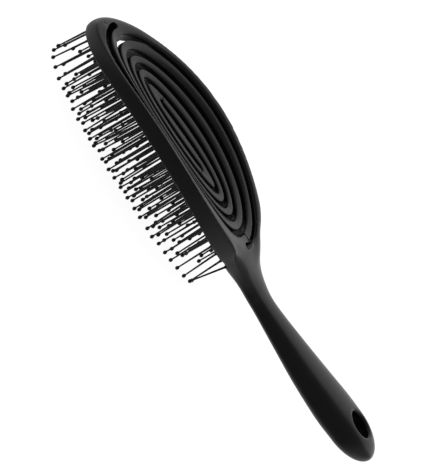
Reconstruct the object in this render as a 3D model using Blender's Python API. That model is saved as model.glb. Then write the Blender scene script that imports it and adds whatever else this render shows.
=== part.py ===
"""Vented detangling brush with a double spiral pad.

Metres, +Z up. The brush lies on its pins, with its back up. X runs from the head's tip to the
handle's end. The origin is under the middle of the brush, level with the lowest pin tips.
Shapes are worked out from the centre of the spiral, and place() moves them into the brush's frame.
"""
import math

import bmesh
import bpy
from mathutils import Matrix, Vector

MM = 0.001
OBJECT_NAME = "vented_spiral_brush"

# Outline of the head, seen from the back: a superellipse, a little more pointed than an ellipse
HEAD_MIDDLE = 1.3 * MM
HEAD_HALF_LENGTH = 68.0 * MM
HEAD_HALF_WIDTH = 31.8 * MM
HEAD_EXPONENT = 1.75

# The head is curved across its width like a gutter: height = GUTTER * y * y
GUTTER = 9.45
RIM_LIP = 0.6 * MM
NECK_DROP = 3.6 * MM
NECK_DROP_FROM = 57.0 * MM
WALL_BOTTOM_AT_ENDS = -13.0 * MM
WALL_BOTTOM_AT_SIDES = -0.6 * MM
WALL_THICKNESS = 2.4 * MM
WALL_INSET = 1.4 * MM
WALL_BULGE_AT = 0.55
WALL_BULGE_INSET = 0.5 * MM
RIM_ROUNDING = 0.7 * MM
RIM_SHOULDER = 1.6 * MM
CREST_INSET = 2.4 * MM
CREST_SHARE = 0.7
NARROW_FLANGE = 3.0 * MM
BROAD_FLANGE = 6.5 * MM
KNEE_FILLET = 0.8 * MM
STEP_HALF_ANGLE = math.radians(0.4)

# The two slots. Their half axes grow evenly with each half turn, and the second is the first
# turned half way round
HALF_TURNS = 5
SLOT_WIDTH = 2.1 * MM
SLOT_LENGTH_AT_FIRST_TURN = 30.2 * MM
SLOT_LENGTH_STEP = 7.4 * MM
SLOT_HEIGHT_AT_START = 0.32 * MM
SLOT_HEIGHT_STEP = 6.16 * MM
SLOT_ROUNDNESS_CHANGE = 0.08
SLOT_INNER_END = 0.26
ARM_END = 0.28
PAD_THICKNESS = 3.0 * MM

# Pins
PIN_PITCH = 5.4 * MM
PIN_ROOT_HALF_WIDTH = 0.45 * MM
PIN_NECK_RADIUS = 0.38 * MM
BALL_RADIUS = 0.95 * MM
BALL_LENGTH = 2.6 * MM
BALL_WIDEST_AT = 0.38
STRIP_THICKNESS = 0.8 * MM
PIN_TIP_HEIGHT = -30.0 * MM
PIN_TIP_RISE = 4.6 * MM
FRAME_ROW_INSET = 2.6 * MM
FRAME_ROW_END_ANGLE = math.radians(31)
ROW_END_MARGIN = math.radians(0.5)
CENTRE_ROW_SHARE = 0.9

# Handle at its stations, in millimetres: x, half width, half depth, height of the middle, and the
# exponent of its superellipse section. The neck is squarer, where it runs out of the head
HANDLE_STATIONS = (
    (61.2, 12.2, 6.1, -7.1, 3.4),
    (66.0, 12.3, 6.2, -8.1, 3.1),
    (71.4, 11.2, 5.8, -9.7, 2.4),
    (80.4, 9.3, 4.7, -11.8, 2.15),
    (89.4, 8.0, 4.4, -12.8, 2.15),
    (100.4, 8.6, 5.0, -13.0, 2.15),
    (112.4, 10.0, 5.8, -12.9, 2.15),
    (124.4, 11.5, 6.6, -12.7, 2.15),
    (136.4, 12.7, 7.3, -12.2, 2.15),
    (148.4, 13.6, 7.85, -11.5, 2.15),
    (159.4, 13.5, 7.75, -10.7, 2.15),
    (178.1, 13.0, 7.5, -9.8, 2.15),
)
HANDLE_END = 178.1 * MM
HANDLE_ROUND_FROM = 159.3 * MM
HANDLE_END_ARC = math.radians(86)
HANG_HOLE_X = 161.1 * MM
HANG_HOLE_LENGTH = 13.6 * MM
HANG_HOLE_WIDTH = 11.0 * MM

GAP = 0.3 * MM
RIM_STEPS = 44
ARM_STEPS = 20
HANDLE_STEPS = 22
END_STEPS = 8
HANDLE_SIDES = 24

ORIGIN_X = (HEAD_MIDDLE - HEAD_HALF_LENGTH + HANDLE_END) / 2
ORIGIN_Z = PIN_TIP_HEIGHT

ABS_BLACK = (0.012, 0.012, 0.013, 1.0)
NYLON_BLACK = (0.018, 0.018, 0.019, 1.0)


def place(x, y, z):
    """A point given from the spiral's centre, in the brush's frame."""
    return Vector((x - ORIGIN_X, y, z - ORIGIN_Z))


def power(value, exponent):
    return math.copysign(abs(value) ** (2 / exponent), value)


def pad_height(y):
    return GUTTER * y * y


def outline(angle):
    """The head's outer edge, seen from the back."""
    along = HEAD_HALF_LENGTH * power(math.cos(angle), HEAD_EXPONENT)
    across = HEAD_HALF_WIDTH * power(math.sin(angle), HEAD_EXPONENT)
    return Vector((HEAD_MIDDLE + along, across))


def slot(level, offset):
    """The slot that starts beside the handle, at a level from 5 at its start to 0 at the centre."""
    angle = (HALF_TURNS - level) * math.pi
    exponent = 2.0 - SLOT_ROUNDNESS_CHANGE * math.cos(angle)
    half_length = SLOT_LENGTH_AT_FIRST_TURN + SLOT_LENGTH_STEP * (level - 1) + offset
    half_height = SLOT_HEIGHT_AT_START + SLOT_HEIGHT_STEP * level + offset
    along = half_length * power(math.cos(angle), exponent)
    across = half_height * power(math.sin(angle), exponent)
    return Vector((along, across))


def arm_edges(side, turns):
    """Outer and inner edge of an arm after so many half turns. side is 1 for arm a, -1 for arm b."""
    outer = slot(HALF_TURNS - turns, -SLOT_WIDTH / 2)
    inner = -slot(HALF_TURNS - 1 - turns, SLOT_WIDTH / 2)
    return side * outer, side * inner


def frame_inner_edge(angle):
    """The frame's edge along the outermost half turn of the two slots."""
    turns = (angle % (2 * math.pi)) / math.pi
    if turns < 1:
        return slot(HALF_TURNS - turns, SLOT_WIDTH / 2)
    return -slot(HALF_TURNS + 1 - turns, SLOT_WIDTH / 2)


def rim_crest(point):
    """The rim follows the gutter a lip above the pad, and comes down where the neck starts."""
    towards_neck = (point.x - NECK_DROP_FROM) / (HEAD_MIDDLE + HEAD_HALF_LENGTH - NECK_DROP_FROM)
    return pad_height(point.y) + RIM_LIP - NECK_DROP * smooth_share(towards_neck)


def wall_bottom(y):
    share = (y / HEAD_HALF_WIDTH) ** 2
    return WALL_BOTTOM_AT_ENDS + (WALL_BOTTOM_AT_SIDES - WALL_BOTTOM_AT_ENDS) * share


def mix(a, b, share):
    return a + (b - a) * share


def smooth_share(value):
    value = min(max(value, 0.0), 1.0)
    return value * value * (3 - 2 * value)


def new_material(name, colour, roughness):
    material = bpy.data.materials.new(name)
    material.use_nodes = True
    shader = material.node_tree.nodes["Principled BSDF"]
    shader.inputs["Base Color"].default_value = colour
    shader.inputs["Roughness"].default_value = roughness
    shader.inputs["Metallic"].default_value = 0.0
    return material


def new_object(name, mesh, collection, parent=None, colour=ABS_BLACK, roughness=0.3):
    """Links a mesh whose points are in the brush's frame, with its origin at its parent's."""
    item = bpy.data.objects.new(name, mesh)
    collection.objects.link(item)
    mesh.materials.append(new_material(name, colour, roughness))
    if parent:
        for vertex in mesh.vertices:
            vertex.co -= parent.location
        item.parent = parent
    return item


def mesh_from(bm, name, sharp_angle=30):
    bmesh.ops.recalc_face_normals(bm, faces=bm.faces)
    mesh = bpy.data.meshes.new(name)
    bm.to_mesh(mesh)
    bm.free()
    mesh.shade_smooth()
    mesh.set_sharp_from_angle(angle=math.radians(sharp_angle))
    return mesh


def loft(name, sections, closed=False):
    """Skins sections of equal point count, as a ring or as a bar with flat ends."""
    bm = bmesh.new()
    rings = [[bm.verts.new(point) for point in section] for section in sections]
    pairs = list(zip(rings, rings[1:]))
    if closed:
        pairs.append((rings[-1], rings[0]))
    for here, there in pairs:
        for i in range(len(here)):
            j = (i + 1) % len(here)
            bm.faces.new((here[i], here[j], there[j], there[i]))
    if not closed:
        bm.faces.new(rings[0])
        bm.faces.new(rings[-1])
    return mesh_from(bm, name)


def frame_section(angle):
    """Section of the oval frame: a flange at the pad's level and a wall that hangs from its edge."""
    outer = outline(angle)
    inner = frame_inner_edge(angle)
    land = (inner - outer).length
    inward = (inner - outer) / land
    crest = rim_crest(outer)
    edge = pad_height(inner.y)
    bottom = wall_bottom(outer.y)
    wall = WALL_INSET + WALL_THICKNESS
    broad = smooth_share((land - NARROW_FLANGE) / (BROAD_FLANGE - NARROW_FLANGE))
    knee = mix((land + wall) / 2, wall + KNEE_FILLET, broad)
    under_flange = pad_height(outer.y + inward.y * knee) - PAD_THICKNESS - KNEE_FILLET
    knee_height = mix((edge - PAD_THICKNESS + bottom) / 2, under_flange, broad)
    profile = (
        (land, edge),
        (min(CREST_INSET, CREST_SHARE * land), crest),
        (RIM_ROUNDING, crest - RIM_ROUNDING / 3),
        (0.0, crest - RIM_SHOULDER),
        (WALL_BULGE_INSET, mix(crest, bottom, WALL_BULGE_AT)),
        (WALL_INSET, bottom),
        (wall, bottom),
        (knee, knee_height),
        (land, edge - PAD_THICKNESS),
    )
    return [place(*(outer + inward * inset), height) for inset, height in profile]


def make_frame_ring():
    """The oval frame. Its inner edge steps in where each arm is rooted."""
    angles = []
    for start in (0.0, math.pi):
        first, last = start + STEP_HALF_ANGLE / 4, start + math.pi - STEP_HALF_ANGLE
        angles += [mix(first, last, i / RIM_STEPS) for i in range(RIM_STEPS + 1)]
    return loft("frame_ring", [frame_section(angle) for angle in angles], closed=True)


def handle_size(x):
    """Half width, half depth, middle height and exponent, by a smooth curve through the stations."""
    along = x / MM
    last = len(HANDLE_STATIONS) - 1
    i = max(k for k in range(last) if HANDLE_STATIONS[k][0] <= along or k == 0)
    nearby = [HANDLE_STATIONS[min(max(k, 0), last)] for k in range(i - 1, i + 3)]
    before, start, end, after = nearby
    span = end[0] - start[0]
    t = (along - start[0]) / span
    values = []
    for k in range(1, 5):
        slope_in = (end[k] - before[k]) / (end[0] - before[0]) * span
        slope_out = (after[k] - start[k]) / (after[0] - start[0]) * span
        rise = (2 * t**3 - 3 * t**2 + 1) * start[k] + (3 * t**2 - 2 * t**3) * end[k]
        values.append(rise + (t**3 - 2 * t**2 + t) * slope_in + (t**3 - t**2) * slope_out)
    half_width, half_depth, middle, exponent = values
    return half_width * MM, half_depth * MM, middle * MM, exponent


def handle_section(x):
    half_width, half_depth, middle, exponent = handle_size(x)
    past_round = max(0.0, x - HANDLE_ROUND_FROM) / (HANDLE_END - HANDLE_ROUND_FROM)
    narrowing = math.sqrt(max(1 - past_round**2, 0.0))
    section = []
    for i in range(HANDLE_SIDES):
        angle = 2 * math.pi * i / HANDLE_SIDES
        across = half_width * narrowing * power(math.cos(angle), exponent)
        height = half_depth * narrowing * power(math.sin(angle), exponent)
        section.append(place(x, across, middle + height))
    return section


def make_handle():
    """The neck and handle, with stations closer together towards the rounded end."""
    first = HANDLE_STATIONS[0][0] * MM
    stations = [mix(first, HANDLE_ROUND_FROM, i / HANDLE_STEPS) for i in range(HANDLE_STEPS)]
    for i in range(END_STEPS + 1):
        share = math.sin(HANDLE_END_ARC * i / END_STEPS)
        stations.append(mix(HANDLE_ROUND_FROM, HANDLE_END, share))
    return loft("handle", [handle_section(x) for x in stations])


def move_to(item, collection):
    for old in list(item.users_collection):
        old.objects.unlink(item)
    collection.objects.link(item)


def add_boolean(item, operand, operation):
    """Cuts or joins item with another closed body, which is then only a guide."""
    modifier = item.modifiers.new(operand.name, "BOOLEAN")
    modifier.operation = operation
    modifier.solver = "EXACT"
    modifier.object = operand
    operand.hide_render = True
    operand.display_type = "WIRE"


def make_hang_hole_cutter(cutters):
    bpy.ops.mesh.primitive_cylinder_add(vertices=28, radius=0.5, depth=1.0)
    cutter = bpy.context.active_object
    cutter.name = "hang_hole_cutter"
    cutter.data.transform(Matrix.Diagonal((HANG_HOLE_LENGTH, HANG_HOLE_WIDTH, 30 * MM, 1.0)))
    cutter.location = place(HANG_HOLE_X, 0, handle_size(HANG_HOLE_X)[2])
    move_to(cutter, cutters)
    return cutter


def make_frame_and_handle(parts, cutters):
    body = new_object("frame_and_handle", make_frame_ring(), parts)
    handle = bpy.data.objects.new("handle_stock", make_handle())
    cutters.objects.link(handle)
    add_boolean(body, handle, "UNION")
    add_boolean(body, make_hang_hole_cutter(cutters), "DIFFERENCE")


def arm_section(side, turns):
    outer, inner = arm_edges(side, turns)
    tops = [(point.x, point.y, pad_height(point.y)) for point in (outer, inner)]
    outer_top, inner_top = tops
    outer_low, inner_low = [(x, y, z - PAD_THICKNESS) for x, y, z in tops]
    return [place(*corner) for corner in (outer_top, outer_low, inner_low, inner_top)]


def arm_turn_range(number):
    """First and last half turn of one segment of an arm, clear of its neighbours by half a gap each."""
    first = number - 1
    last = HALF_TURNS - 1 - ARM_END if number == HALF_TURNS - 1 else number
    half_gap = GAP / 2 / (math.pi * slot(HALF_TURNS - first, 0).length * 0.5)
    return first + half_gap, last - half_gap


def make_arm_segment(letter, number, parts, turn):
    side = 1 if letter == "a" else -1
    first, last = arm_turn_range(number)
    steps = ARM_STEPS
    sections = [arm_section(side, mix(first, last, i / steps)) for i in range(steps + 1)]
    name = f"arm_{letter}_half_turn_{number}"
    new_object(name, loft(name, sections), parts, turn)


def centre_outline():
    """The island between the inner ends of both slots, from the end of one arm to the other's."""
    half = []
    steps = 2 * ARM_STEPS
    arm_level = 1 + ARM_END
    for i in range(steps + 1):
        half.append(slot(mix(arm_level, SLOT_INNER_END, i / steps), -SLOT_WIDTH / 2))
    half.append(slot(SLOT_INNER_END, SLOT_WIDTH / 2))
    return half + [-point for point in half]


def make_centre(parts, turn):
    bm = bmesh.new()
    levels = []
    for drop in (0.0, PAD_THICKNESS):
        points = [place(p.x, p.y, pad_height(p.y) - drop) for p in centre_outline()]
        levels.append([bm.verts.new(point) for point in points])
    top, low = levels
    bm.faces.new(top)
    bm.faces.new(low)
    for i in range(len(top)):
        j = (i + 1) % len(top)
        bm.faces.new((top[i], top[j], low[j], low[i]))
    new_object("pad_centre", mesh_from(bm, "pad_centre"), parts, turn)


def spaced(path, pitch, margin):
    """Points at even steps along a polyline, each with the path's direction seen from the back."""
    lengths = [0.0]
    for a, b in zip(path, path[1:]):
        lengths.append(lengths[-1] + (b - a).length)
    run = lengths[-1] - 2 * margin
    count = max(1, round(run / pitch))
    places = []
    for i in range(count + 1):
        at = margin + run * i / count
        k = max(n for n in range(len(path) - 1) if lengths[n] <= at)
        share = (at - lengths[k]) / (lengths[k + 1] - lengths[k])
        along = (path[k + 1] - path[k]).xy.normalized()
        places.append((path[k].lerp(path[k + 1], share), along))
    return places


def tip_height(y):
    return PIN_TIP_HEIGHT + PIN_TIP_RISE * (y / HEAD_HALF_WIDTH) ** 2


def square(middle, along, height, half):
    across = Vector((-along.y, along.x))
    corners = ((-1, -1), (-1, 1), (1, 1), (1, -1))
    return [place(*(middle.xy + along * a * half + across * b * half), height) for a, b in corners]


def add_pin(bm, root_corners, middle, along):
    """Grows a tapered pin with a drop-shaped ball from a square on the strip's underside."""
    tip = tip_height(middle.y)
    profile = (
        (tip + BALL_LENGTH, PIN_NECK_RADIUS),
        (tip + BALL_WIDEST_AT * BALL_LENGTH, BALL_RADIUS),
    )
    ring = root_corners
    for height, radius in profile:
        corners = square(middle, along, height, radius * math.sqrt(0.5))
        lower = [bm.verts.new(corner) for corner in corners]
        for i in range(4):
            j = (i + 1) % 4
            bm.faces.new((ring[i], ring[j], lower[j], lower[i]))
        ring = lower
    end = bm.verts.new(place(middle.x, middle.y, tip))
    for i in range(4):
        bm.faces.new((ring[i], ring[(i + 1) % 4], end))


def make_pin_row(name, path, margin, parts, turn=None):
    """One row of pins on a thin root strip, all one body. The path runs along the underside above it."""
    bm = bmesh.new()
    stations = spaced(path, PIN_PITCH, margin)
    last_ring = None
    for middle, along in stations:
        rings = []
        for height in (middle.z - GAP, middle.z - GAP - STRIP_THICKNESS):
            corners = square(middle, along, height, PIN_ROOT_HALF_WIDTH)
            rings.append([bm.verts.new(corner) for corner in corners])
        upper, low = rings
        bm.faces.new(upper)
        bm.faces.new((upper[1], upper[2], low[2], low[1]))
        bm.faces.new((upper[3], upper[0], low[0], low[3]))
        add_pin(bm, low, middle, along)
        near_end = (upper[0], upper[1], low[1], low[0])
        if last_ring is None:
            bm.faces.new(near_end)
        else:
            for i in range(4):
                j = (i + 1) % 4
                bm.faces.new((last_ring[i], last_ring[j], near_end[j], near_end[i]))
        last_ring = (upper[3], upper[2], low[2], low[3])
    bm.faces.new(last_ring)
    new_object(name, mesh_from(bm, name, 60), parts, turn, NYLON_BLACK, 0.35)


def make_frame_pins(parts):
    for name, side in (("left", 1), ("right", -1)):
        path = []
        steps = 4 * RIM_STEPS
        for i in range(steps + 1):
            angle = side * mix(FRAME_ROW_END_ANGLE, math.pi - ROW_END_MARGIN, i / steps)
            outer = outline(angle)
            inward = (frame_inner_edge(angle) - outer).normalized()
            point = outer + inward * FRAME_ROW_INSET
            path.append(Vector((point.x, point.y, wall_bottom(outer.y))))
        make_pin_row(f"frame_pins_{name}", path, PIN_PITCH / 2, parts)


def under_pad(point):
    return Vector((point.x, point.y, pad_height(point.y) - PAD_THICKNESS))


def make_arm_pins(letter, number, parts, turn):
    side = 1 if letter == "a" else -1
    first, last = arm_turn_range(number)
    steps = 4 * ARM_STEPS
    path = []
    for i in range(steps + 1):
        outer, inner = arm_edges(side, mix(first, last, i / steps))
        path.append(under_pad((outer + inner) / 2))
    make_pin_row(f"arm_{letter}_pins_{number}", path, PIN_PITCH / 2, parts, turn)


def make_centre_pins(parts, turn):
    reach = CENTRE_ROW_SHARE * SLOT_LENGTH_AT_FIRST_TURN - SLOT_WIDTH
    path = [under_pad(Vector((-reach, 0.0))), under_pad(Vector((reach, 0.0)))]
    make_pin_row("centre_pins", path, PIN_PITCH / 4, parts, turn)


def new_turn(name, parts):
    """The parent of the pieces that yield together. Each slides along +Z through the pad's centre."""
    empty = bpy.data.objects.new(name, None)
    empty.location = place(0.0, 0.0, 0.0)
    parts.objects.link(empty)
    return empty


def main():
    for item in list(bpy.data.objects):
        bpy.data.objects.remove(item)
    parts = bpy.data.collections.new(OBJECT_NAME)
    cutters = bpy.data.collections.new("cutters")
    for collection in (parts, cutters):
        bpy.context.scene.collection.children.link(collection)
    make_frame_and_handle(parts, cutters)
    make_frame_pins(parts)
    for number in range(1, HALF_TURNS):
        turn = new_turn(f"turn_{number}", parts)
        for letter in ("a", "b"):
            make_arm_segment(letter, number, parts, turn)
            make_arm_pins(letter, number, parts, turn)
    make_centre(parts, turn)
    make_centre_pins(parts, turn)


main()
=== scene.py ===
import math
import random

import bmesh
import bpy
import numpy as np
from mathutils import Matrix, Vector
from mathutils.bvhtree import BVHTree


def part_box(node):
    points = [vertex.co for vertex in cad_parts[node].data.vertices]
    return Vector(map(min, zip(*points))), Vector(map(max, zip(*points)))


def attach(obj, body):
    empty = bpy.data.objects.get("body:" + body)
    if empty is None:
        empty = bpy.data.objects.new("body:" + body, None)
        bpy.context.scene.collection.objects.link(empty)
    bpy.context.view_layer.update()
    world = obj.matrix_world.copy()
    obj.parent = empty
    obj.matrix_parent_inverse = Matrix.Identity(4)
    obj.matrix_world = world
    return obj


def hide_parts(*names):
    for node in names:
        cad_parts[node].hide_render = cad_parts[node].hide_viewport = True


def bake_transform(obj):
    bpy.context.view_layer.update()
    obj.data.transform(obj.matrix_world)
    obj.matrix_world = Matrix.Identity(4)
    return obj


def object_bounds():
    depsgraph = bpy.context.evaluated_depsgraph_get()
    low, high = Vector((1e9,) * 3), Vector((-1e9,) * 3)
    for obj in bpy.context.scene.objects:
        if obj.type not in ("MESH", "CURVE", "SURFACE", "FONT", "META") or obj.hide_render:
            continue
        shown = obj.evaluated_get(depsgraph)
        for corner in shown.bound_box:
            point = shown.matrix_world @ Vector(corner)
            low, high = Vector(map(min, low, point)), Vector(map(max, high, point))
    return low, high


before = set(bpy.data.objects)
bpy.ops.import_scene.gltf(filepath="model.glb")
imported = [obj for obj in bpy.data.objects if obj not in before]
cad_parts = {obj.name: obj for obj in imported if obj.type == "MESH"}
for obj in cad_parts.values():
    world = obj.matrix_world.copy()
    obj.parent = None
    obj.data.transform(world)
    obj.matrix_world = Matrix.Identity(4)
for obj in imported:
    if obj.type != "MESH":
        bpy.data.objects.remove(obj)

CAD_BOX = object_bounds()
MM = 0.001

# Head: a little wider than the CAD model's, longer at the neck, and with a lower rim. The rim and
# the pad are curved like a gutter: their height grows with the square of the distance across.
HEAD_MIDDLE = 3.4 * MM
HEAD_HALF_LENGTH = 70.1 * MM
HEAD_HALF_WIDTH = 33.7 * MM
HEAD_EXPONENT = 1.88
GUTTER = 9.45
RIM_GUTTER = 10.5
RIM_LEVEL = -2.8 * MM
NECK_DROP = 4.6 * MM
NECK_DROP_FROM = 52.0 * MM
NECK_DROP_TO = 70.0 * MM

# Frame's wall, which hangs from the rim
WALL_BOTTOM_AT_ENDS = -12.0 * MM
WALL_BOTTOM_AT_SIDES = -0.2 * MM
WALL_BOTTOM_TILT = -0.022
WALL_THICKNESS = 2.4 * MM
WALL_INSET = 1.4 * MM
WALL_BULGE_AT = 0.55
WALL_BULGE_INSET = 0.5 * MM
WALL_BULGE_ROUNDING = 3.0 * MM
TIP_BULGE = 1.4 * MM
TIP_BULGE_FROM = 45.0 * MM
TIP_BULGE_OVER = 20.0 * MM

# Frame's flange, from the rim to the outermost slots. It is narrow along the sides and broad at
# the ends, where values with two numbers change from the first to the second.
NARROW_FLANGE = 4.0 * MM
BROAD_FLANGE = 7.5 * MM
LIP_WIDTH = 2.5 * MM
BROAD_LIP_SHARE = 0.45
MOST_LIP_SHARE = 0.75
LIP_HEIGHT_SHARE = (0.1, 0.92)
LIP_ROUNDING = (0.8 * MM, 4.0 * MM)
RIM_ROUNDING = (1.0 * MM, 2.6 * MM)
FLANGE_RISE = 0.3
FLANGE_RISE_AT_AXIS = 0.6
FLANGE_AXIS_REACH = 14.0 * MM
THICK_AT_ENDS = 7.5 * MM
THICK_FROM = 40.0 * MM
THICK_OVER = 10.0 * MM
KNEE_FILLET = 0.8 * MM
KNEE_ROUNDING = 1.2 * MM

# Slots and arms, as in the CAD model but for the slots' width and their starts. A slot's levels
# count half turns: 5 at its start, 0 at the spiral's centre.
HALF_TURNS = 5
SLOT_WIDTH = 2.6 * MM
SLOT_LENGTH_AT_FIRST_TURN = 30.2 * MM
SLOT_LENGTH_STEP = 7.4 * MM
SLOT_HEIGHT_AT_START = 0.32 * MM
SLOT_HEIGHT_STEP = 6.16 * MM
SLOT_ROUNDNESS_CHANGE = 0.08
SLOT_INNER_END = 0.26
SLOT_END_WIDENING = 1.5
SLOT_START_SQUARENESS = 0.1
SLOT_SQUARE_FROM = 4.55
SLOT_SQUARE_OVER = 0.4
SLOT_OVERRUN = 0.05
ARM_END = 0.28
ARM_SINK = 0.006
PAD_THICKNESS = 3.0 * MM
EDGE_ROUNDING = 0.9 * MM
UNDER_ROUNDING = 0.4 * MM
MOST_ROUNDING_SHARE = 0.4
BAR_CROWN = 0.25 * MM
CROWN_GROWTH = 0.12
CROWN_SHARES = (0.75, 0.5, 0.25)
CROWN_SMOOTHING = 0.1
ARM_STEPS = 110

# The frame's stubs, which the arms grow from, and how they are cut flush
STUB_TURNS = 0.016
STUB_TRIM = 1.9 * MM
STUB_TRIM_OVERLAP = 2.0 * MM
STUB_TRIM_HEIGHT = 24.0 * MM

# Cutter of a slot's start, in layers: (height over the pad, how far it is widened)
SLOT_CUTTER_STEPS = 14
SLOT_CUTTER_CAP_STEPS = 10
SLOT_CUTTER_TURNS = 2.5 * STUB_TURNS
SLOT_CUTTER = (
    (-11.0 * MM, 0.0),
    (-1.0 * MM, 0.0),
    (-0.5 * MM, 0.12 * MM),
    (-0.2 * MM, 0.4 * MM),
    (0.0, 0.8 * MM),
    (3.0 * MM, 2.5 * MM),
)

# Island: the share of its rails that its sides cover while they round each tip, and between
ISLAND_STEPS = 150
ISLAND_RAIL_STEPS = 90
ISLAND_CAP_STEPS = 8
ISLAND_TIP_UNTIL = 0.32
ISLAND_MIDDLE_UNTIL = 0.68
ISLAND_TIP_SHARE = 0.42
ISLAND_MIDDLE_SHARE = 0.955

# Handle, as in the CAD model but for a broader neck: along, half width, half depth, middle
# height (all in mm) and exponent of its section
HANDLE_STATIONS = (
    (61.2, 16.9, 5.2, -8.5, 3.6),
    (66.0, 14.2, 5.2, -9.0, 3.3),
    (71.4, 12.0, 5.2, -10.0, 2.7),
    (80.4, 9.3, 4.7, -11.8, 2.15),
    (89.4, 8.0, 4.4, -12.8, 2.15),
    (100.4, 8.6, 5.0, -13.0, 2.15),
    (112.4, 10.0, 5.8, -12.9, 2.15),
    (124.4, 11.5, 6.6, -12.7, 2.15),
    (136.4, 12.7, 7.3, -12.2, 2.15),
    (148.4, 13.6, 7.85, -11.5, 2.15),
    (159.4, 13.5, 7.75, -10.7, 2.15),
    (178.1, 13.0, 7.5, -9.8, 2.15),
)
HANDLE_END = 178.1 * MM
HANDLE_ROUND_FROM = 159.3 * MM
HANDLE_LAST_ANGLE = math.radians(88.5)
HANDLE_STEPS = 150
HANDLE_END_STEPS = 37
HANDLE_SIDES = 96

# Hanging hole. Its cutter's heights over the handle's middle, and where it flares, are in mm.
HANG_HOLE_X = 161.1 * MM
HANG_HOLE_LENGTH = 13.6 * MM
HANG_HOLE_WIDTH = 11.0 * MM
HANG_HOLE_SIDES = 64
HANG_HOLE_HEIGHTS = (-16, -7.6, -6.9, -6.0, 0, 6.0, 6.9, 7.6, 16)
HANG_HOLE_FLARE = 0.16
HANG_HOLE_FLARE_FROM = 5.6
HANG_HOLE_FLARE_OVER = 2.4

# How the frame and handle are joined and smoothed
CORNER_STEPS = 4
MOST_CORNER_SHARE = 0.45
RING_STEPS = 260
RING_GAP = math.radians(0.05)
VOXEL = 0.5 * MM
NECK_BAND = (56 * MM, 62 * MM, 74 * MM, 84 * MM)
NECK_SMOOTHING = 150
NECK_FILLET = 3.0 * MM
LEAST_FILLET = 0.05 * MM
FILLET_ROUNDS = 4
FILLET_STEP = 0.9
EDGE_SMOOTHING = 5
SURFACE_SMOOTHING = 8
SHARP_ANGLE = 40
SHARP_ANGLE_FINE = 60
GATE_MARK_X = -63.6 * MM
GATE_MARK_RADIUS = 1.1 * MM
GATE_MARK_DEPTH = 0.35 * MM
GATE_MARK_REACH_DOWN = 4.5 * MM

# Rows of pins, and the ribs that they stand on
PIN_PITCH = 5.4 * MM
FRAME_ROW_STEPS = 176
ARM_ROW_STEPS = 80
FRAME_ROW_INSET = 2.6 * MM
FRAME_ROW_END_ANGLE = math.radians(26)
ROW_END_MARGIN = math.radians(0.5)
CENTRE_ROW_SHARE = 0.9
FRAME_ROW_SEED = 3
ARM_ROW_SEED = 10
CENTRE_ROW_SEED = 60
RIB_WIDTH = 2.9 * MM
RIB_DEPTH = 3.6 * MM
RIB_DEPTH_AT_ENDS = 8.0 * MM
RIB_DEEP_FROM = 24.0 * MM
RIB_SINK = 0.6 * MM
RIB_SHOULDER = 0.6
RIB_FOOT = 0.55

# One pin
PIN_SIDES = 10
PIN_FOOT_RADIUS = 0.75 * MM
PIN_FOOT_HEIGHT = 0.5 * MM
PIN_ROOT_RADIUS = 0.55 * MM
PIN_NECK_RADIUS = 0.38 * MM
PIN_SINK = 0.8 * MM
SHAFT_SHARES = (0.35, 0.7, 1.0)
BALL_RADIUS = 0.95 * MM
BALL_LENGTH = 2.7 * MM
BALL_SHARES = (0.12, 0.25, 0.38, 0.5, 0.62, 0.74, 0.85, 0.94)
BALL_NECK_UNTIL = 0.3
BALL_DROOP = 1.25
BALL_FULLNESS = 0.75

# Where the pins' tips are, and how the pins lean
PIN_TIP_HEIGHT = -31.0 * MM
PIN_TIP_RISE = 5.9 * MM
TIP_REACH = 32.7 * MM
LEAN_AT_TIP = math.radians(0.5)
LEAN_AT_NECK = math.radians(4.5)
SPLAY_AT_RIM = math.radians(5.0)
LEAN_SCATTER = math.radians(1.3)
LEAN_BACK_FROM = 57.0 * MM
LEAN_BACK_OVER = 7.0 * MM
LEAN_BACK = math.radians(20.0)

# Materials: colour, usual roughness, its lowest and highest, and the scale of its patches
MOULDED_BLACK = ((0.0065, 0.0065, 0.0072), 0.28, 0.25, 0.33, 90.0)
BLACK_NYLON = ((0.006, 0.006, 0.0065), 0.4, 0.34, 0.46, 300.0)
GLOSSY_DROP = ((0.02, 0.02, 0.021), 0.12, 0.08, 0.16, 700.0)
DROP_COAT_ROUGHNESS = 0.06
PEEL_SCALE = 900.0
PEEL_DETAIL = 2.0
PEEL_STRENGTH = 0.05
PEEL_DEPTH = 0.0002
NOISE_RANGE = (0.3, 0.7)
FLOOR_GREY = (0.35, 0.35, 0.35)
WHITE = (1.0, 1.0, 1.0, 1.0)

# Stage. The world is dim, but brighter behind the brush, low down and past its two ends.
FLOOR_SIZE = 12.0
FLOOR_DROP = 1.2 * MM
FLOOR_GLOW = 0.94
WORLD_DIM = 0.15
WORLD_BRIGHT = 0.45
WORLD_FROM_NEAR = (-0.8, 0.3)
WORLD_FROM_ABOVE = (0.15, -0.25)
WORLD_FROM_MIDDLE = (0.3, 0.85)
WORLD_END_SHARE = 0.8
SOFTBOX_DISTANCE = 1.0
SOFTBOX_ELEVATION = math.radians(27)
SOFTBOX_SIZE = (2.6, 1.75)
SOFTBOX_ENERGY = 8.4
CAMERA_DISTANCE = 6.0
CAMERA_AZIMUTH = math.radians(-12.77)
CAMERA_ELEVATION = math.radians(26.22)
CAMERA_ROLL = math.radians(62.6)
CAMERA_TARGET = (49.26 * MM, 0.0, -12.41 * MM)
LENS_PER_METRE = 166.15
SENSOR_WIDTH = 36.0

PAD_LOW, PAD_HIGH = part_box("pad_centre")
CENTRE_X = (PAD_LOW[0] + PAD_HIGH[0]) / 2
PAD_LEVEL = PAD_LOW[2] + PAD_THICKNESS


def place(x, y, z):
    """A point given from the spiral's centre, in the brush's frame."""
    return Vector((x + CENTRE_X, y, z + PAD_LEVEL))


def mix(a, b, share):
    return a + (b - a) * share


def smooth_share(value):
    value = min(max(value, 0.0), 1.0)
    return value * value * (3 - 2 * value)


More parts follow.
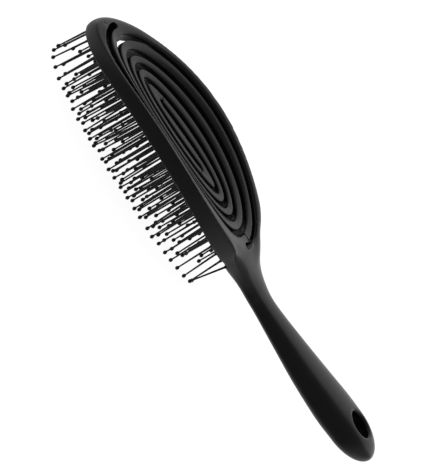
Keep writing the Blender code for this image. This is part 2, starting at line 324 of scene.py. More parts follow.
def power(value, exponent):
    return math.copysign(abs(value) ** (2 / exponent), value)


def pad_height(y):
    return GUTTER * y * y


def outline(angle):
    """The head's outer edge, seen from the back."""
    along = HEAD_HALF_LENGTH * power(math.cos(angle), HEAD_EXPONENT)
    across = HEAD_HALF_WIDTH * power(math.sin(angle), HEAD_EXPONENT)
    return Vector((HEAD_MIDDLE + along, across))


def rim_height(point):
    towards_neck = (point.x - NECK_DROP_FROM) / (NECK_DROP_TO - NECK_DROP_FROM)
    return RIM_LEVEL + RIM_GUTTER * point.y**2 - NECK_DROP * smooth_share(towards_neck)


def slot(level, offset=0.0):
    """A point of the slot that starts beside the handle.

    The level falls from 5 at the slot's start to 0 at the centre. A positive offset gives its outer
    edge and a negative one its inner edge.
    """
    angle = (HALF_TURNS - level) * math.pi
    exponent = 2.0 - SLOT_ROUNDNESS_CHANGE * math.cos(angle)
    exponent += SLOT_START_SQUARENESS * smooth_share((level - SLOT_SQUARE_FROM) / SLOT_SQUARE_OVER)
    widening = SLOT_END_WIDENING if offset > 0 else 1.0
    half_length = SLOT_LENGTH_AT_FIRST_TURN + SLOT_LENGTH_STEP * (level - 1) + offset * widening
    half_height = SLOT_HEIGHT_AT_START + SLOT_HEIGHT_STEP * level + offset
    along = half_length * power(math.cos(angle), exponent)
    across = half_height * power(math.sin(angle), exponent)
    return Vector((along, across))


def arm_edges(side, turns):
    """Outer and inner edge of an arm after so many half turns. side: 1 for arm a, -1 for arm b."""
    outer = slot(HALF_TURNS - turns, -SLOT_WIDTH / 2)
    inner = -slot(HALF_TURNS - 1 - turns, SLOT_WIDTH / 2)
    return side * outer, side * inner


def frame_inner_edge(angle):
    """The frame's edge along the outermost slots. It steps in just past the root of each arm."""
    turns = (angle % (2 * math.pi)) / math.pi
    side = 1 if turns < 1 else -1
    turns %= 1
    if turns < STUB_TURNS:
        return -side * slot(HALF_TURNS - 1 - turns, SLOT_WIDTH / 2)
    return side * slot(HALF_TURNS - turns, SLOT_WIDTH / 2)


def wall_bottom(point):
    share = (point.y / HEAD_HALF_WIDTH) ** 2
    return mix(WALL_BOTTOM_AT_ENDS, WALL_BOTTOM_AT_SIDES, share) + WALL_BOTTOM_TILT * point.x


# ---------------------------------------------------------------- mesh helpers


def new_object(name, mesh, material=None):
    item = bpy.data.objects.new(name, mesh)
    bpy.context.scene.collection.objects.link(item)
    mesh.materials.clear()
    if material:
        mesh.materials.append(material)
    return item


def mesh_from(bm, name, sharp_angle=SHARP_ANGLE):
    bmesh.ops.recalc_face_normals(bm, faces=bm.faces)
    mesh = bpy.data.meshes.new(name)
    bm.to_mesh(mesh)
    bm.free()
    mesh.shade_smooth()
    mesh.set_sharp_from_angle(angle=math.radians(sharp_angle))
    return mesh


def skin(bm, rings, closed_length=False):
    """Skins rings of vertices into a tube, and caps its ends unless it closes on itself."""
    pairs = list(zip(rings, rings[1:]))
    if closed_length:
        pairs.append((rings[-1], rings[0]))
    for here, there in pairs:
        for i in range(len(here)):
            j = (i + 1) % len(here)
            bm.faces.new((here[i], here[j], there[j], there[i]))
    if not closed_length:
        bm.faces.new(rings[0])
        bm.faces.new(rings[-1])


def loft(name, sections, closed=False):
    bm = bmesh.new()
    skin(bm, [[bm.verts.new(point) for point in section] for section in sections], closed)
    return mesh_from(bm, name)


def rounded(corners):
    """Rounds a closed polygon. Each corner is (x, z, rounding), and each becomes a small arc."""
    points = []
    count = len(corners)
    for i, (x, z, rounding) in enumerate(corners):
        here = Vector((x, z))
        ends = []
        for other in (corners[i - 1], corners[(i + 1) % count]):
            there = Vector(other[:2])
            reach = min(rounding, (there - here).length * MOST_CORNER_SHARE)
            ends.append(here.lerp(there, reach / max((there - here).length, 1e-9)))
        for k in range(CORNER_STEPS + 1):
            t = k / CORNER_STEPS
            points.append((1 - t) ** 2 * ends[0] + 2 * t * (1 - t) * here + t * t * ends[1])
    return points


def evaluated_mesh(item, name):
    """The mesh that the item's modifiers give, in the brush's frame."""
    bpy.context.view_layer.update()
    graph = bpy.context.evaluated_depsgraph_get()
    mesh = bpy.data.meshes.new_from_object(item.evaluated_get(graph), depsgraph=graph)
    mesh.name = name
    return mesh


def discard(*items):
    for item in items:
        bpy.data.objects.remove(item)


def combined(name, mesh, steps):
    """The mesh after booleans with each (mesh, operation) of steps."""
    item = new_object(name, mesh)
    tools = []
    for tool_mesh, operation in steps:
        tool = new_object("tool", tool_mesh)
        modifier = item.modifiers.new(operation, "BOOLEAN")
        modifier.operation = operation
        modifier.solver = "MANIFOLD"
        modifier.object = tool
        tools.append(tool)
    result = evaluated_mesh(item, name)
    discard(item, *tools)
    return result


# ---------------------------------------------------------------- frame and handle


def frame_section(angle):
    """Section of the oval frame: a flange beside the pad and a wall that hangs from its rim."""
    outer = outline(angle)
    inner = frame_inner_edge(angle)
    land = (inner - outer).length
    inward = (inner - outer) / land
    crest = rim_height(outer)
    rise = mix(FLANGE_RISE, FLANGE_RISE_AT_AXIS, smooth_share(1 - abs(outer.y) / FLANGE_AXIS_REACH))
    edge = min(pad_height(inner.y), RIM_LEVEL + RIM_GUTTER * outer.y**2 + rise * land)
    bottom = wall_bottom(outer)
    wall = WALL_INSET + WALL_THICKNESS
    broad = smooth_share((land - NARROW_FLANGE) / (BROAD_FLANGE - NARROW_FLANGE))
    lip = min(mix(LIP_WIDTH, BROAD_LIP_SHARE * land, broad), MOST_LIP_SHARE * land)
    lip_height = mix(crest, edge, mix(*LIP_HEIGHT_SHARE, broad))
    bulge = TIP_BULGE * smooth_share((-outer.x - TIP_BULGE_FROM) / TIP_BULGE_OVER)
    at_end = smooth_share((abs(inner.x) - THICK_FROM) / THICK_OVER)
    thickness = mix(PAD_THICKNESS, THICK_AT_ENDS, at_end)
    knee = mix((land + wall) / 2, wall + KNEE_FILLET, broad)
    under_flange = pad_height(outer.y + inward.y * knee) - thickness - KNEE_FILLET
    under_flange = min(under_flange, mix(crest, edge, knee / land) - thickness - KNEE_FILLET)
    under_flange = max(under_flange, bottom + KNEE_FILLET)
    knee_height = mix((edge - thickness + bottom) / 2, under_flange, broad)
    at_tip = outer.x < 0
    corners = (
        (land, edge, EDGE_ROUNDING),
        (lip, lip_height, mix(*LIP_ROUNDING, broad)),
        (0.0, crest, mix(*RIM_ROUNDING, broad * at_tip)),
        (WALL_BULGE_INSET - bulge, mix(crest, bottom, WALL_BULGE_AT), WALL_BULGE_ROUNDING),
        (WALL_INSET - bulge, bottom, UNDER_ROUNDING),
        (wall, bottom, UNDER_ROUNDING),
        (knee, knee_height, KNEE_ROUNDING),
        (land, edge - thickness, UNDER_ROUNDING),
    )
    return [place(*(outer + inward * inset), height) for inset, height in rounded(corners)]


def ring_mesh():
    """The oval frame, by sections from one stub round to the other and on to the first again."""
    shares = [i / RING_STEPS for i in range(RING_STEPS + 1)]
    angles = [mix(STUB_TURNS, 1 + STUB_TURNS, share) * math.pi for share in shares]
    angles[0] += RING_GAP
    angles[-1] -= RING_GAP
    angles += [angle + math.pi for angle in angles]
    return loft("ring", [frame_section(angle) for angle in angles], closed=True)


def handle_size(x):
    """Half width, half depth, middle height and exponent, on smooth curves through the stations."""
    along = x / MM
    last = len(HANDLE_STATIONS) - 1
    i = max(k for k in range(last) if HANDLE_STATIONS[k][0] <= along or k == 0)
    nearby = [HANDLE_STATIONS[min(max(k, 0), last)] for k in range(i - 1, i + 3)]
    before, start, end, after = nearby
    span = end[0] - start[0]
    t = (along - start[0]) / span
    values = []
    for k in range(1, 5):
        slope_in = (end[k] - before[k]) / (end[0] - before[0]) * span
        slope_out = (after[k] - start[k]) / (after[0] - start[0]) * span
        rise = (2 * t**3 - 3 * t**2 + 1) * start[k] + (3 * t**2 - 2 * t**3) * end[k]
        values.append(rise + (t**3 - 2 * t**2 + t) * slope_in + (t**3 - t**2) * slope_out)
    half_width, half_depth, middle, exponent = values
    return half_width * MM, half_depth * MM, middle * MM, exponent


def handle_section(x):
    half_width, half_depth, middle, exponent = handle_size(x)
    past_round = max(0.0, x - HANDLE_ROUND_FROM) / (HANDLE_END - HANDLE_ROUND_FROM)
    narrowing = math.sqrt(max(1 - past_round**2, 0.0))
    section = []
    for i in range(HANDLE_SIDES):
        angle = 2 * math.pi * i / HANDLE_SIDES
        across = half_width * narrowing * power(math.cos(angle), exponent)
        height = half_depth * narrowing * power(math.sin(angle), exponent)
        section.append(place(x, across, middle + height))
    return section


def handle_mesh():
    first = HANDLE_STATIONS[0][0] * MM
    stations = [mix(first, HANDLE_ROUND_FROM, i / HANDLE_STEPS) for i in range(HANDLE_STEPS)]
    for i in range(HANDLE_END_STEPS + 1):
        share = math.sin(HANDLE_LAST_ANGLE * i / HANDLE_END_STEPS)
        stations.append(mix(HANDLE_ROUND_FROM, HANDLE_END, share))
    return loft("handle", [handle_section(x) for x in stations])


def hang_hole_mesh():
    """The oval hole's cutter. It flares at both faces, which rounds the hole's edges."""
    middle = handle_size(HANG_HOLE_X)[2]
    sections = []
    for height in HANG_HOLE_HEIGHTS:
        past_face = (abs(height) - HANG_HOLE_FLARE_FROM) / HANG_HOLE_FLARE_OVER
        flare = 1.0 + HANG_HOLE_FLARE * smooth_share(past_face)
        ring = []
        for i in range(HANG_HOLE_SIDES):
            angle = 2 * math.pi * i / HANG_HOLE_SIDES
            along = HANG_HOLE_LENGTH / 2 * flare * math.cos(angle)
            across = HANG_HOLE_WIDTH / 2 * flare * math.sin(angle)
            ring.append(place(HANG_HOLE_X + along, across, middle + height * MM))
        sections.append(ring)
    return loft("hang_hole", sections)


def slot_end_mesh(side):
    """Cutter for the rounded start of a slot, which runs a little way into the frame."""
    half = SLOT_WIDTH / 2
    first, last = HALF_TURNS - SLOT_CUTTER_TURNS, HALF_TURNS + SLOT_OVERRUN
    shares = [i / SLOT_CUTTER_STEPS for i in range(SLOT_CUTTER_STEPS + 1)]
    levels = [mix(first, last, share) for share in shares]
    edges = {hand: [side * slot(level, hand * half) for level in levels] for hand in (1, -1)}
    path = [(a + b) / 2 for a, b in zip(edges[1], edges[-1])]
    ahead = (path[-1] - path[-2]).normalized()
    radius = (edges[1][-1] - edges[-1][-1]) / 2
    cap = []
    for k in range(1, SLOT_CUTTER_CAP_STEPS):
        turn = math.pi * k / SLOT_CUTTER_CAP_STEPS
        round_end = radius * math.cos(turn) + ahead * radius.length * math.sin(turn)
        cap.append(path[-1] + round_end)
    shape = edges[1] + cap + list(reversed(edges[-1]))
    centre = path[SLOT_CUTTER_STEPS // 2]
    sections = []
    for height, grow in SLOT_CUTTER:
        ring = []
        for i, point in enumerate(shape):
            outward = (shape[(i + 1) % len(shape)] - shape[i - 1]).normalized()
            outward = Vector((outward.y, -outward.x)) * grow
            if (point + outward - centre).length < (point - centre).length:
                outward.negate()
            moved = point + outward
            ring.append(place(moved.x, moved.y, height + pad_height(point.y)))
        sections.append(ring)
    return loft("slot_end", sections)


def stub_trim_mesh(side):
    """A box that cuts the frame's stub flush with the start of an arm, at the head's long axis."""
    bm = bmesh.new()
    bmesh.ops.create_cube(bm, size=1.0)
    inner = slot(HALF_TURNS - 1, SLOT_WIDTH / 2).length
    outer = slot(HALF_TURNS, 0.0).length
    size = Matrix.Diagonal((outer - inner + STUB_TRIM_OVERLAP, STUB_TRIM, STUB_TRIM_HEIGHT, 1.0))
    along = (outer + inner - STUB_TRIM_OVERLAP) / 2
    middle = place(side * along, side * STUB_TRIM / 2, 0.0)
    bmesh.ops.transform(bm, matrix=Matrix.Translation(middle) @ size, verts=bm.verts)
    return mesh_from(bm, "stub_trim")


def voxel_remeshed(mesh, size):
    """The mesh's outer skin, in even faces of about the size."""
    item = new_object("remesh", mesh)
    modifier = item.modifiers.new("voxels", "REMESH")
    modifier.mode = "VOXEL"
    modifier.voxel_size = size
    result = evaluated_mesh(item, "remeshed")
    discard(item)
    return result


def relaxed(points, edges, weight, rounds):
    """Moves each point towards the mean of its neighbours, by its weight, so many times."""
    count = np.bincount(edges.ravel(), minlength=len(points))[:, None]
    for _ in range(rounds):
        total = np.zeros_like(points)
        np.add.at(total, edges[:, 0], points[edges[:, 1]])
        np.add.at(total, edges[:, 1], points[edges[:, 0]])
        points = points + weight[:, None] * 0.5 * (total / count - points)
    return points


def band(values, start, full_from, full_to, end):
    """1 between full_from and full_to, falling smoothly to 0 at start and end."""
    rise = np.clip((values - start) / (full_from - start), 0, 1)
    fall = np.clip((end - values) / (end - full_to), 0, 1)
    share = np.minimum(rise, fall)
    return share * share * (3 - 2 * share)


def tree_of(mesh):
    return BVHTree.FromPolygons([v.co for v in mesh.vertices], [p.vertices for p in mesh.polygons])


def signed_distance(tree, point):
    """Distance to the surface, less than 0 inside it, and the direction in which it grows."""
    found, normal, _, distance = tree.find_nearest(point)
    away = point - found
    if away.dot(normal) < 0:
        return -distance, -away.normalized() if distance > 1e-7 else normal
    return distance, away.normalized() if distance > 1e-7 else normal


def onto_fillet(point, first, second, reach):
    """Moves the point onto the union of two solids, with the hollow between them filled out."""
    for _ in range(FILLET_ROUNDS):
        distance_a, away_a = signed_distance(first, point)
        distance_b, away_b = signed_distance(second, point)
        share = min(max(0.5 + 0.5 * (distance_b - distance_a) / reach, 0.0), 1.0)
        distance = mix(distance_b, distance_a, share) - reach * share * (1 - share)
        away = away_b.lerp(away_a, share)
        if away.length < 1e-6:
            break
        point = point - away.normalized() * distance * FILLET_STEP
    return point


def frame_and_handle_mesh():
    """The frame and handle as one moulding, with the neck faired into the head."""
    ring, handle = ring_mesh(), handle_mesh()
    trees = tree_of(ring), tree_of(handle)
    joined = combined("frame_and_handle", ring, [
        (handle, "UNION"),
        (hang_hole_mesh(), "DIFFERENCE"),
    ])
    mesh = voxel_remeshed(joined, VOXEL * (1))
    points = np.empty(len(mesh.vertices) * 3)
    mesh.vertices.foreach_get("co", points)
    points = points.reshape(-1, 3)
    edges = np.empty(len(mesh.edges) * 2, dtype=np.int64)
    mesh.edges.foreach_get("vertices", edges)
    edges = edges.reshape(-1, 2)

    x = points[:, 0] - CENTRE_X
    neck = band(x, *NECK_BAND)
    free = relaxed(points.copy(), edges, np.ones(len(points)), EDGE_SMOOTHING)
    for i in range(len(points)):
        if neck[i] > 0:
            reach = max(NECK_FILLET * neck[i], LEAST_FILLET)
            free[i] = onto_fillet(Vector(free[i]), *trees, reach)
    free = relaxed(free, edges, neck, NECK_SMOOTHING // (1))
    free = relaxed(free, edges, np.ones(len(points)), SURFACE_SMOOTHING)
    mark = place(GATE_MARK_X, 0.0, 0.0)
    from_mark = np.hypot(free[:, 0] - mark.x, free[:, 1] - mark.y)
    dent = np.clip(1 - (from_mark / GATE_MARK_RADIUS) ** 2, 0, 1) ** 1.5 * GATE_MARK_DEPTH
    free[:, 2] -= dent * (free[:, 2] > mark.z - GATE_MARK_REACH_DOWN)
    mesh.vertices.foreach_set("co", free.ravel())
    mesh.update()
    mesh = combined("frame_and_handle", mesh, [
        (slot_end_mesh(1), "DIFFERENCE"),
        (slot_end_mesh(-1), "DIFFERENCE"),
        (stub_trim_mesh(1), "DIFFERENCE"),
        (stub_trim_mesh(-1), "DIFFERENCE"),
    ])
    mesh.shade_smooth()
    mesh.set_sharp_from_angle(angle=math.radians(SHARP_ANGLE_FINE))
    return mesh


# ---------------------------------------------------------------- spiral pad


def bar_section(outer, inner, crown=BAR_CROWN):
    """Section of a bar between two points of its edges, with a slightly crowned top."""
    width = (inner - outer).length
    across = (inner - outer) / width
    rounding = min(EDGE_ROUNDING, MOST_ROUNDING_SHARE * width)
    corners = [
        (0.0, 0.0, rounding),
        (0.0, -PAD_THICKNESS, UNDER_ROUNDING),
        (width, -PAD_THICKNESS, UNDER_ROUNDING),
        (width, 0.0, rounding),
    ]
    corners += [(width * share, 0.0, CROWN_SMOOTHING * width) for share in CROWN_SHARES]
    section = []
    for inset, height in rounded(corners):
        point = outer + across * inset
        top_share = 1 + height / PAD_THICKNESS
        share = inset / width
        rise = crown * 4 * share * (1 - share) * top_share
        section.append(place(point.x, point.y, pad_height(point.y) + height + rise))
    return section


def arm_turn_range(number):
    last = HALF_TURNS - 1 - ARM_END if number == HALF_TURNS - 1 else number
    return number - 1, last


def make_arm(letter, number, material):
    """One half turn of an arm, from where the half turn before it ends to its own end."""
    side = 1 if letter == "a" else -1
    first, last = arm_turn_range(number)
    sections = []
    for i in range(ARM_STEPS + 1):
        turns = mix(first - (ARM_SINK if number == 1 else 0.0), last, i / ARM_STEPS)
        crown = BAR_CROWN * smooth_share(turns / CROWN_GROWTH)
        sections.append(bar_section(*arm_edges(side, turns), crown))
    name = f"arm_{letter}_half_turn_{number}"
    piece = new_object(f"{name}_bar", loft(name, sections), material)
    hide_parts(name)
    bend_with_turn(piece, side, number)


def bend_with_turn(piece, side, number):
    """Bakes the piece's placement into its mesh. The middles of its half turn's two ends are worked
    out but not used.
    """
    start, end = (sum(arm_edges(side, turns), Vector((0, 0))) / 2 for turns in (number - 1, number))
    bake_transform(piece)


def lengths_along(path):
    """The length of a polyline up to each of its points."""
    lengths = [0.0]
    for a, b in zip(path, path[1:]):
        lengths.append(lengths[-1] + (b - a).length)
    return lengths


def point_at(path, lengths, at):
    """The point of a polyline at a length along it."""
    k = max(n for n in range(len(path) - 1) if lengths[n] <= at)
    return path[k].lerp(path[k + 1], (at - lengths[k]) / (lengths[k + 1] - lengths[k]))


def island_rail():
    """One side of the island: the slot's edge from the end of arm a, and round the slot's end."""
    rail = []
    for i in range(ISLAND_RAIL_STEPS + 1):
        level = mix(1 + ARM_END, SLOT_INNER_END, i / ISLAND_RAIL_STEPS)
        rail.append(slot(level, -SLOT_WIDTH / 2))
    start = slot(SLOT_INNER_END, -SLOT_WIDTH / 2)
    end = slot(SLOT_INNER_END, SLOT_WIDTH / 2)
    middle = (start + end) / 2
    ahead = (rail[-1] - rail[-3]).normalized()
    for k in range(1, ISLAND_CAP_STEPS + 1):
        turn = math.pi * k / ISLAND_CAP_STEPS
        round_end = ahead * math.sin(turn) * (end - start).length / 2
        rail.append(middle + (start - middle) * math.cos(turn) + round_end)
    return rail


def island_share(share):
    """How far a side of the island has gone: fast round the first tip, then slower to the last."""
    if share <= ISLAND_TIP_UNTIL:
        return ISLAND_TIP_SHARE * min(share / ISLAND_TIP_UNTIL, 1.0)
    if share <= ISLAND_MIDDLE_UNTIL:
        passed = (share - ISLAND_TIP_UNTIL) / (ISLAND_MIDDLE_UNTIL - ISLAND_TIP_UNTIL)
        return mix(ISLAND_TIP_SHARE, ISLAND_MIDDLE_SHARE, passed)
    passed = (share - ISLAND_MIDDLE_UNTIL) / (1 - ISLAND_MIDDLE_UNTIL)
    return mix(ISLAND_MIDDLE_SHARE, 1.0, passed)


def make_island(material):
    """The island in the middle, between one side's rail and the same rail turned half round."""
    rail = island_rail()
    other = [-point for point in reversed(rail)]
    lengths, other_lengths = lengths_along(rail), lengths_along(other)
    sections = []
    for i in range(ISLAND_STEPS + 1):
        share = i / ISLAND_STEPS
        here = min(island_share(share), 1.0) * lengths[-1]
        there = max(1 - island_share(1 - share), 0.0) * other_lengths[-1]
        a, b = point_at(rail, lengths, here), point_at(other, other_lengths, there)
        sections.append(bar_section(a, b))
    piece = new_object("pad_centre_island", loft("island", sections), material)
    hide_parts("pad_centre")
    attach(piece, "turn_4")


# ---------------------------------------------------------------- pins


def spaced(path, margin):
    """Points at even steps, of about the pins' pitch, along a polyline."""
    lengths = lengths_along(path)
    run = lengths[-1] - 2 * margin
    count = max(1, round(run / PIN_PITCH))
    return [point_at(path, lengths, margin + run * i / count) for i in range(count + 1)]


def under_pad(point):
    return Vector((point.x, point.y, pad_height(point.y) - PAD_THICKNESS))


def frame_row(side):
    """The path of the roots under the frame's wall, on one side."""
    path = []
    for i in range(FRAME_ROW_STEPS + 1):
        share = i / FRAME_ROW_STEPS
        angle = side * mix(FRAME_ROW_END_ANGLE, math.pi - ROW_END_MARGIN, share)
        outer = outline(angle)
        inward = (frame_inner_edge(angle) - outer).normalized()
        point = outer + inward * FRAME_ROW_INSET
        path.append(Vector((point.x, point.y, wall_bottom(outer))))
    return path


def arm_row(letter, number):
    side = 1 if letter == "a" else -1
    first, last = arm_turn_range(number)
    path = []
    for i in range(ARM_ROW_STEPS + 1):
        outer, inner = arm_edges(side, mix(first, last, i / ARM_ROW_STEPS))
        path.append(under_pad((outer + inner) / 2))
    return path


def centre_row():
    reach = CENTRE_ROW_SHARE * SLOT_LENGTH_AT_FIRST_TURN - SLOT_WIDTH
    return [under_pad(Vector((-reach, 0.0))), under_pad(Vector((reach, 0.0)))]


def add_ring(bm, centre, direction, radius):
    side = direction.orthogonal().normalized()
    other = direction.cross(side)
    ring = []
    for i in range(PIN_SIDES):
        angle = 2 * math.pi * i / PIN_SIDES
        outward = side * math.cos(angle) + other * math.sin(angle)
        ring.append(bm.verts.new(centre + radius * outward))
    return ring


def pin_profile(length):
    """(distance from the root, radius) down a tapered shaft and a drop-shaped ball."""
    profile = [
        (-PIN_SINK, PIN_FOOT_RADIUS),
        (0.0, PIN_FOOT_RADIUS),
        (PIN_FOOT_HEIGHT, PIN_ROOT_RADIUS),
    ]
    shaft = length - BALL_LENGTH
    for share in SHAFT_SHARES:
        radius = mix(PIN_ROOT_RADIUS, PIN_NECK_RADIUS, share)
        profile.append((mix(PIN_FOOT_HEIGHT, shaft, share), radius))
    for share in BALL_SHARES:
        swell = math.sin(math.pi * share**BALL_DROOP) ** BALL_FULLNESS
        least = PIN_NECK_RADIUS if share < BALL_NECK_UNTIL else 0.0
        profile.append((shaft + share * BALL_LENGTH, max(BALL_RADIUS * swell, least)))
    return profile, shaft


def add_pin(bm, root, scatter):
    """A pin from its root, leaning a little along the head and out from the middle.

    The pins lean towards the neck, but for the last few beside the neck, which lean back.
    """
    towards_neck = (root.x + HEAD_HALF_LENGTH) / (2 * HEAD_HALF_LENGTH)
    lean = mix(LEAN_AT_TIP, LEAN_AT_NECK, smooth_share(towards_neck))
    lean += scatter.gauss(0, 1) * LEAN_SCATTER
    lean -= LEAN_BACK * smooth_share((root.x - LEAN_BACK_FROM) / LEAN_BACK_OVER)
    splay = SPLAY_AT_RIM * root.y / HEAD_HALF_WIDTH + scatter.gauss(0, 1) * LEAN_SCATTER
    length = root.z - PIN_TIP_HEIGHT - PIN_TIP_RISE * (root.y / HEAD_HALF_WIDTH) ** 2
    most_left, most_right = (-TIP_REACH - root.y) / length, (TIP_REACH - root.y) / length
    outward = min(max(math.tan(splay), most_left), most_right)
    direction = Vector((math.tan(lean), outward, -1.0)).normalized()
    profile, shaft = pin_profile(length)
    start = place(*root)
    rings = []
    for distance, radius in profile:
        rings.append(add_ring(bm, start + direction * distance, direction, radius))
    for k, (here, there) in enumerate(zip(rings, rings[1:])):
        for i in range(PIN_SIDES):
            j = (i + 1) % PIN_SIDES
            face = bm.faces.new((here[i], here[j], there[j], there[i]))
            face.material_index = 1 if profile[k][0] >= shaft - 1e-9 else 0
    bm.faces.new(rings[0])
    end = bm.verts.new(start + direction * length)
    for i in range(PIN_SIDES):
        face = bm.faces.new((rings[-1][i], rings[-1][(i + 1) % PIN_SIDES], end))
        face.material_index = 1


def add_rib(bm, path):
    """The strip of plastic, under a bar or a wall, that a row of pins stands on."""
    rings = []
    for i, point in enumerate(path):
        along = path[min(i + 1, len(path) - 1)] - path[max(i - 1, 0)]
        across = Vector((-along.y, along.x, 0.0)).normalized() * RIB_WIDTH / 2
        at_end = smooth_share(abs(point.x) / RIB_DEEP_FROM - 1)
        depth = mix(RIB_DEPTH, RIB_DEPTH_AT_ENDS, at_end)
        corners = ((-1.0, RIB_SINK), (-1.0, -RIB_SHOULDER * depth), (-RIB_FOOT, -depth))
        corners += tuple((-side, height) for side, height in reversed(corners))
        ring = []
        for side, height in corners:
            ring.append(bm.verts.new(place(*(point + across * side)) + Vector((0, 0, height))))
        rings.append(ring)
    skin(bm, rings)


def make_pins(node, path, margin, materials, seed, rib=True):
    """A row of pins, in place of the CAD model's, with its rib if it has one."""
    bm = bmesh.new()
    if rib:
        add_rib(bm, path)
    scatter = random.Random(seed)
    for root in spaced(path, margin):
        add_pin(bm, root, scatter)
    piece = new_object(f"{node}_fine", mesh_from(bm, node, SHARP_ANGLE_FINE))
    for material in materials:
        piece.data.materials.append(material)
    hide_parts(node)
    return piece


def make_all_pins(materials):
    margin = PIN_PITCH / 2
    for name, side in (("left", 1), ("right", -1)):
        node = f"frame_pins_{name}"
        seed = FRAME_ROW_SEED + side
        piece = make_pins(node, frame_row(side), margin, materials, seed, rib=False)
        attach(piece, "root")
    for number in range(1, HALF_TURNS):
        for letter, side in (("a", 1), ("b", -1)):
            seed = ARM_ROW_SEED * number + side
            node = f"arm_{letter}_pins_{number}"
            piece = make_pins(node, arm_row(letter, number), margin, materials, seed)
            bend_with_turn(piece, side, number)
    piece = make_pins("centre_pins", centre_row(), margin / 2, materials, CENTRE_ROW_SEED)
    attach(piece, "turn_4")


# ---------------------------------------------------------------- materials


def new_material(name, colour, roughness):
    material = bpy.data.materials.new(name)
    material.use_nodes = True
    shader = material.node_tree.nodes["Principled BSDF"]
    shader.inputs["Base Color"].default_value = (*colour, 1.0)
    shader.inputs["Roughness"].default_value = roughness
    return material, material.node_tree, shader


def noise(tree, scale, detail=3.0):
    coordinates = tree.nodes.new("ShaderNodeTexCoord")
    texture = tree.nodes.new("ShaderNodeTexNoise")
    texture.inputs["Scale"].default_value = scale
    texture.inputs["Detail"].default_value = detail
    tree.links.new(coordinates.outputs["Object"], texture.inputs["Vector"])
    return texture.outputs["Fac"]


def ranged(tree, value, source, target, interpolation="LINEAR"):
    """The value, where it runs over the source range, spread over the target range."""
    spread = tree.nodes.new("ShaderNodeMapRange")
    spread.interpolation_type = interpolation
    for name, number in zip(("From Min", "From Max", "To Min", "To Max"), (*source, *target)):
        spread.inputs[name].default_value = number
    tree.links.new(value, spread.inputs["Value"])
    return spread.outputs["Result"]


def patchy_plastic(name, colour, roughness, low, high, scale):
    """A plastic whose roughness varies between low and high in patches."""
    material, tree, shader = new_material(name, colour, roughness)
    patches = ranged(tree, noise(tree, scale), NOISE_RANGE, (low, high))
    tree.links.new(patches, shader.inputs["Roughness"])
    return material, tree, shader


def moulded_black(name):
    """Satin black moulding: a faint orange peel, and patches a little duller from handling."""
    material, tree, shader = patchy_plastic(name, *MOULDED_BLACK)
    bump = tree.nodes.new("ShaderNodeBump")
    bump.inputs["Strength"].default_value = PEEL_STRENGTH
    bump.inputs["Distance"].default_value = PEEL_DEPTH
    tree.links.new(noise(tree, PEEL_SCALE, PEEL_DETAIL), bump.inputs["Height"])
    tree.links.new(bump.outputs["Normal"], shader.inputs["Normal"])
    return material


def pin_materials():
    """The pins' shafts, and the clear-coated drops on their tips."""
    shaft, _, _ = patchy_plastic("black_nylon", *BLACK_NYLON)
    tip, _, shader = patchy_plastic("glossy_drop", *GLOSSY_DROP)
    shader.inputs["Coat Weight"].default_value = 1.0
    shader.inputs["Coat Roughness"].default_value = DROP_COAT_ROUGHNESS
    return shaft, tip


# ---------------------------------------------------------------- stage


def make_floor():
    level = CAD_BOX[0][2] - FLOOR_DROP
    bpy.ops.mesh.primitive_plane_add(size=FLOOR_SIZE, location=(0, 0, level))
    floor = bpy.context.active_object
    floor.name = "floor"
    material, _, shader = new_material("pale_floor", FLOOR_GREY, 1.0)
    shader.inputs["Specular IOR Level"].default_value = 0.0
    shader.inputs["Emission Color"].default_value = WHITE
    shader.inputs["Emission Strength"].default_value = FLOOR_GLOW
    floor.data.materials.append(material)
    floor.visible_glossy = False
    floor.visible_diffuse = False


def combined_value(tree, operation, *values):
    """One maths node over the values."""
    node = tree.nodes.new("ShaderNodeMath")
    node.operation = operation
    for socket, value in zip(node.inputs, values):
        tree.links.new(value, socket)
    return node.outputs["Value"]


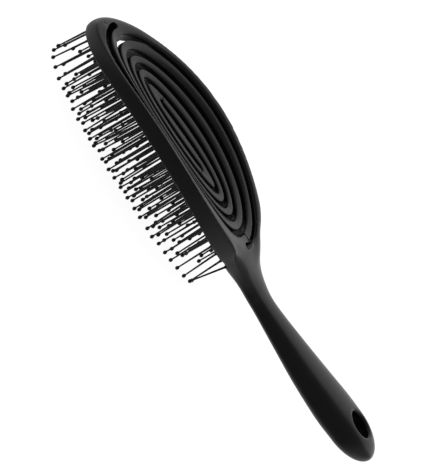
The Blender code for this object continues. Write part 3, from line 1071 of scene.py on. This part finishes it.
def make_world():
    world = bpy.data.worlds.new("studio")
    world.use_nodes = True
    tree = world.node_tree
    background = tree.nodes["Background"]
    background.inputs["Color"].default_value = WHITE
    direction = tree.nodes.new("ShaderNodeTexCoord").outputs["Generated"]
    parts = tree.nodes.new("ShaderNodeSeparateXYZ")
    tree.links.new(direction, parts.inputs["Vector"])
    behind = ranged(tree, parts.outputs["Y"], WORLD_FROM_NEAR, (0.0, 1.0), "SMOOTHSTEP")
    below = ranged(tree, parts.outputs["Z"], WORLD_FROM_ABOVE, (0.0, 1.0), "SMOOTHSTEP")
    sideways = combined_value(tree, "ABSOLUTE", parts.outputs["X"])
    past_ends = (0.0, WORLD_END_SHARE)
    ends = ranged(tree, sideways, WORLD_FROM_MIDDLE, past_ends, "SMOOTHSTEP")
    both = combined_value(tree, "MULTIPLY", behind, below)
    total = combined_value(tree, "ADD", both, ends)
    most = 1 + WORLD_END_SHARE
    brightest = mix(WORLD_DIM, WORLD_BRIGHT, most)
    strength = ranged(tree, total, (0.0, most), (WORLD_DIM, brightest), "SMOOTHSTEP")
    tree.links.new(strength, background.inputs["Strength"])
    bpy.context.scene.world = world


def make_softbox():
    """A broad soft light from behind the brush."""
    data = bpy.data.lights.new("softbox", "AREA")
    data.shape = "RECTANGLE"
    data.size, data.size_y = SOFTBOX_SIZE
    data.energy = SOFTBOX_ENERGY
    light = bpy.data.objects.new("softbox", data)
    bpy.context.scene.collection.objects.link(light)
    towards = Vector((0.0, math.cos(SOFTBOX_ELEVATION), math.sin(SOFTBOX_ELEVATION)))
    light.location = towards * SOFTBOX_DISTANCE
    light.rotation_mode = "QUATERNION"
    light.rotation_quaternion = towards.to_track_quat("Z", "Y")


def make_camera():
    """A long lens, low over the head's near side, rolled so that the handle points down right."""
    back = Vector((
        math.sin(CAMERA_AZIMUTH) * math.cos(CAMERA_ELEVATION),
        -math.cos(CAMERA_AZIMUTH) * math.cos(CAMERA_ELEVATION),
        math.sin(CAMERA_ELEVATION),
    ))
    level = Vector((math.cos(CAMERA_AZIMUTH), math.sin(CAMERA_AZIMUTH), 0.0))
    upright = back.cross(level)
    right = level * math.cos(CAMERA_ROLL) + upright * math.sin(CAMERA_ROLL)
    up = back.cross(right)
    target = place(*CAMERA_TARGET)
    data = bpy.data.cameras.new("camera")
    data.sensor_width = SENSOR_WIDTH
    data.lens = LENS_PER_METRE * CAMERA_DISTANCE
    camera = bpy.data.objects.new("camera", data)
    bpy.context.scene.collection.objects.link(camera)
    turn = Matrix((right, up, back)).transposed().to_4x4()
    camera.matrix_world = Matrix.Translation(target + back * CAMERA_DISTANCE) @ turn
    bpy.context.scene.camera = camera


def main():
    body = moulded_black("moulded_black")
    piece = new_object("frame_and_handle_moulding", frame_and_handle_mesh(), body)
    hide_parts("frame_and_handle")
    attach(piece, "root")
    pad = moulded_black("moulded_black_pad")
    for number in range(1, HALF_TURNS):
        for letter in "ab":
            make_arm(letter, number, pad)
    make_island(pad)
    make_all_pins(pin_materials())
    make_floor()
    make_world()
    make_softbox()
    make_camera()
    bpy.context.scene.view_settings.view_transform = "Standard"


main()
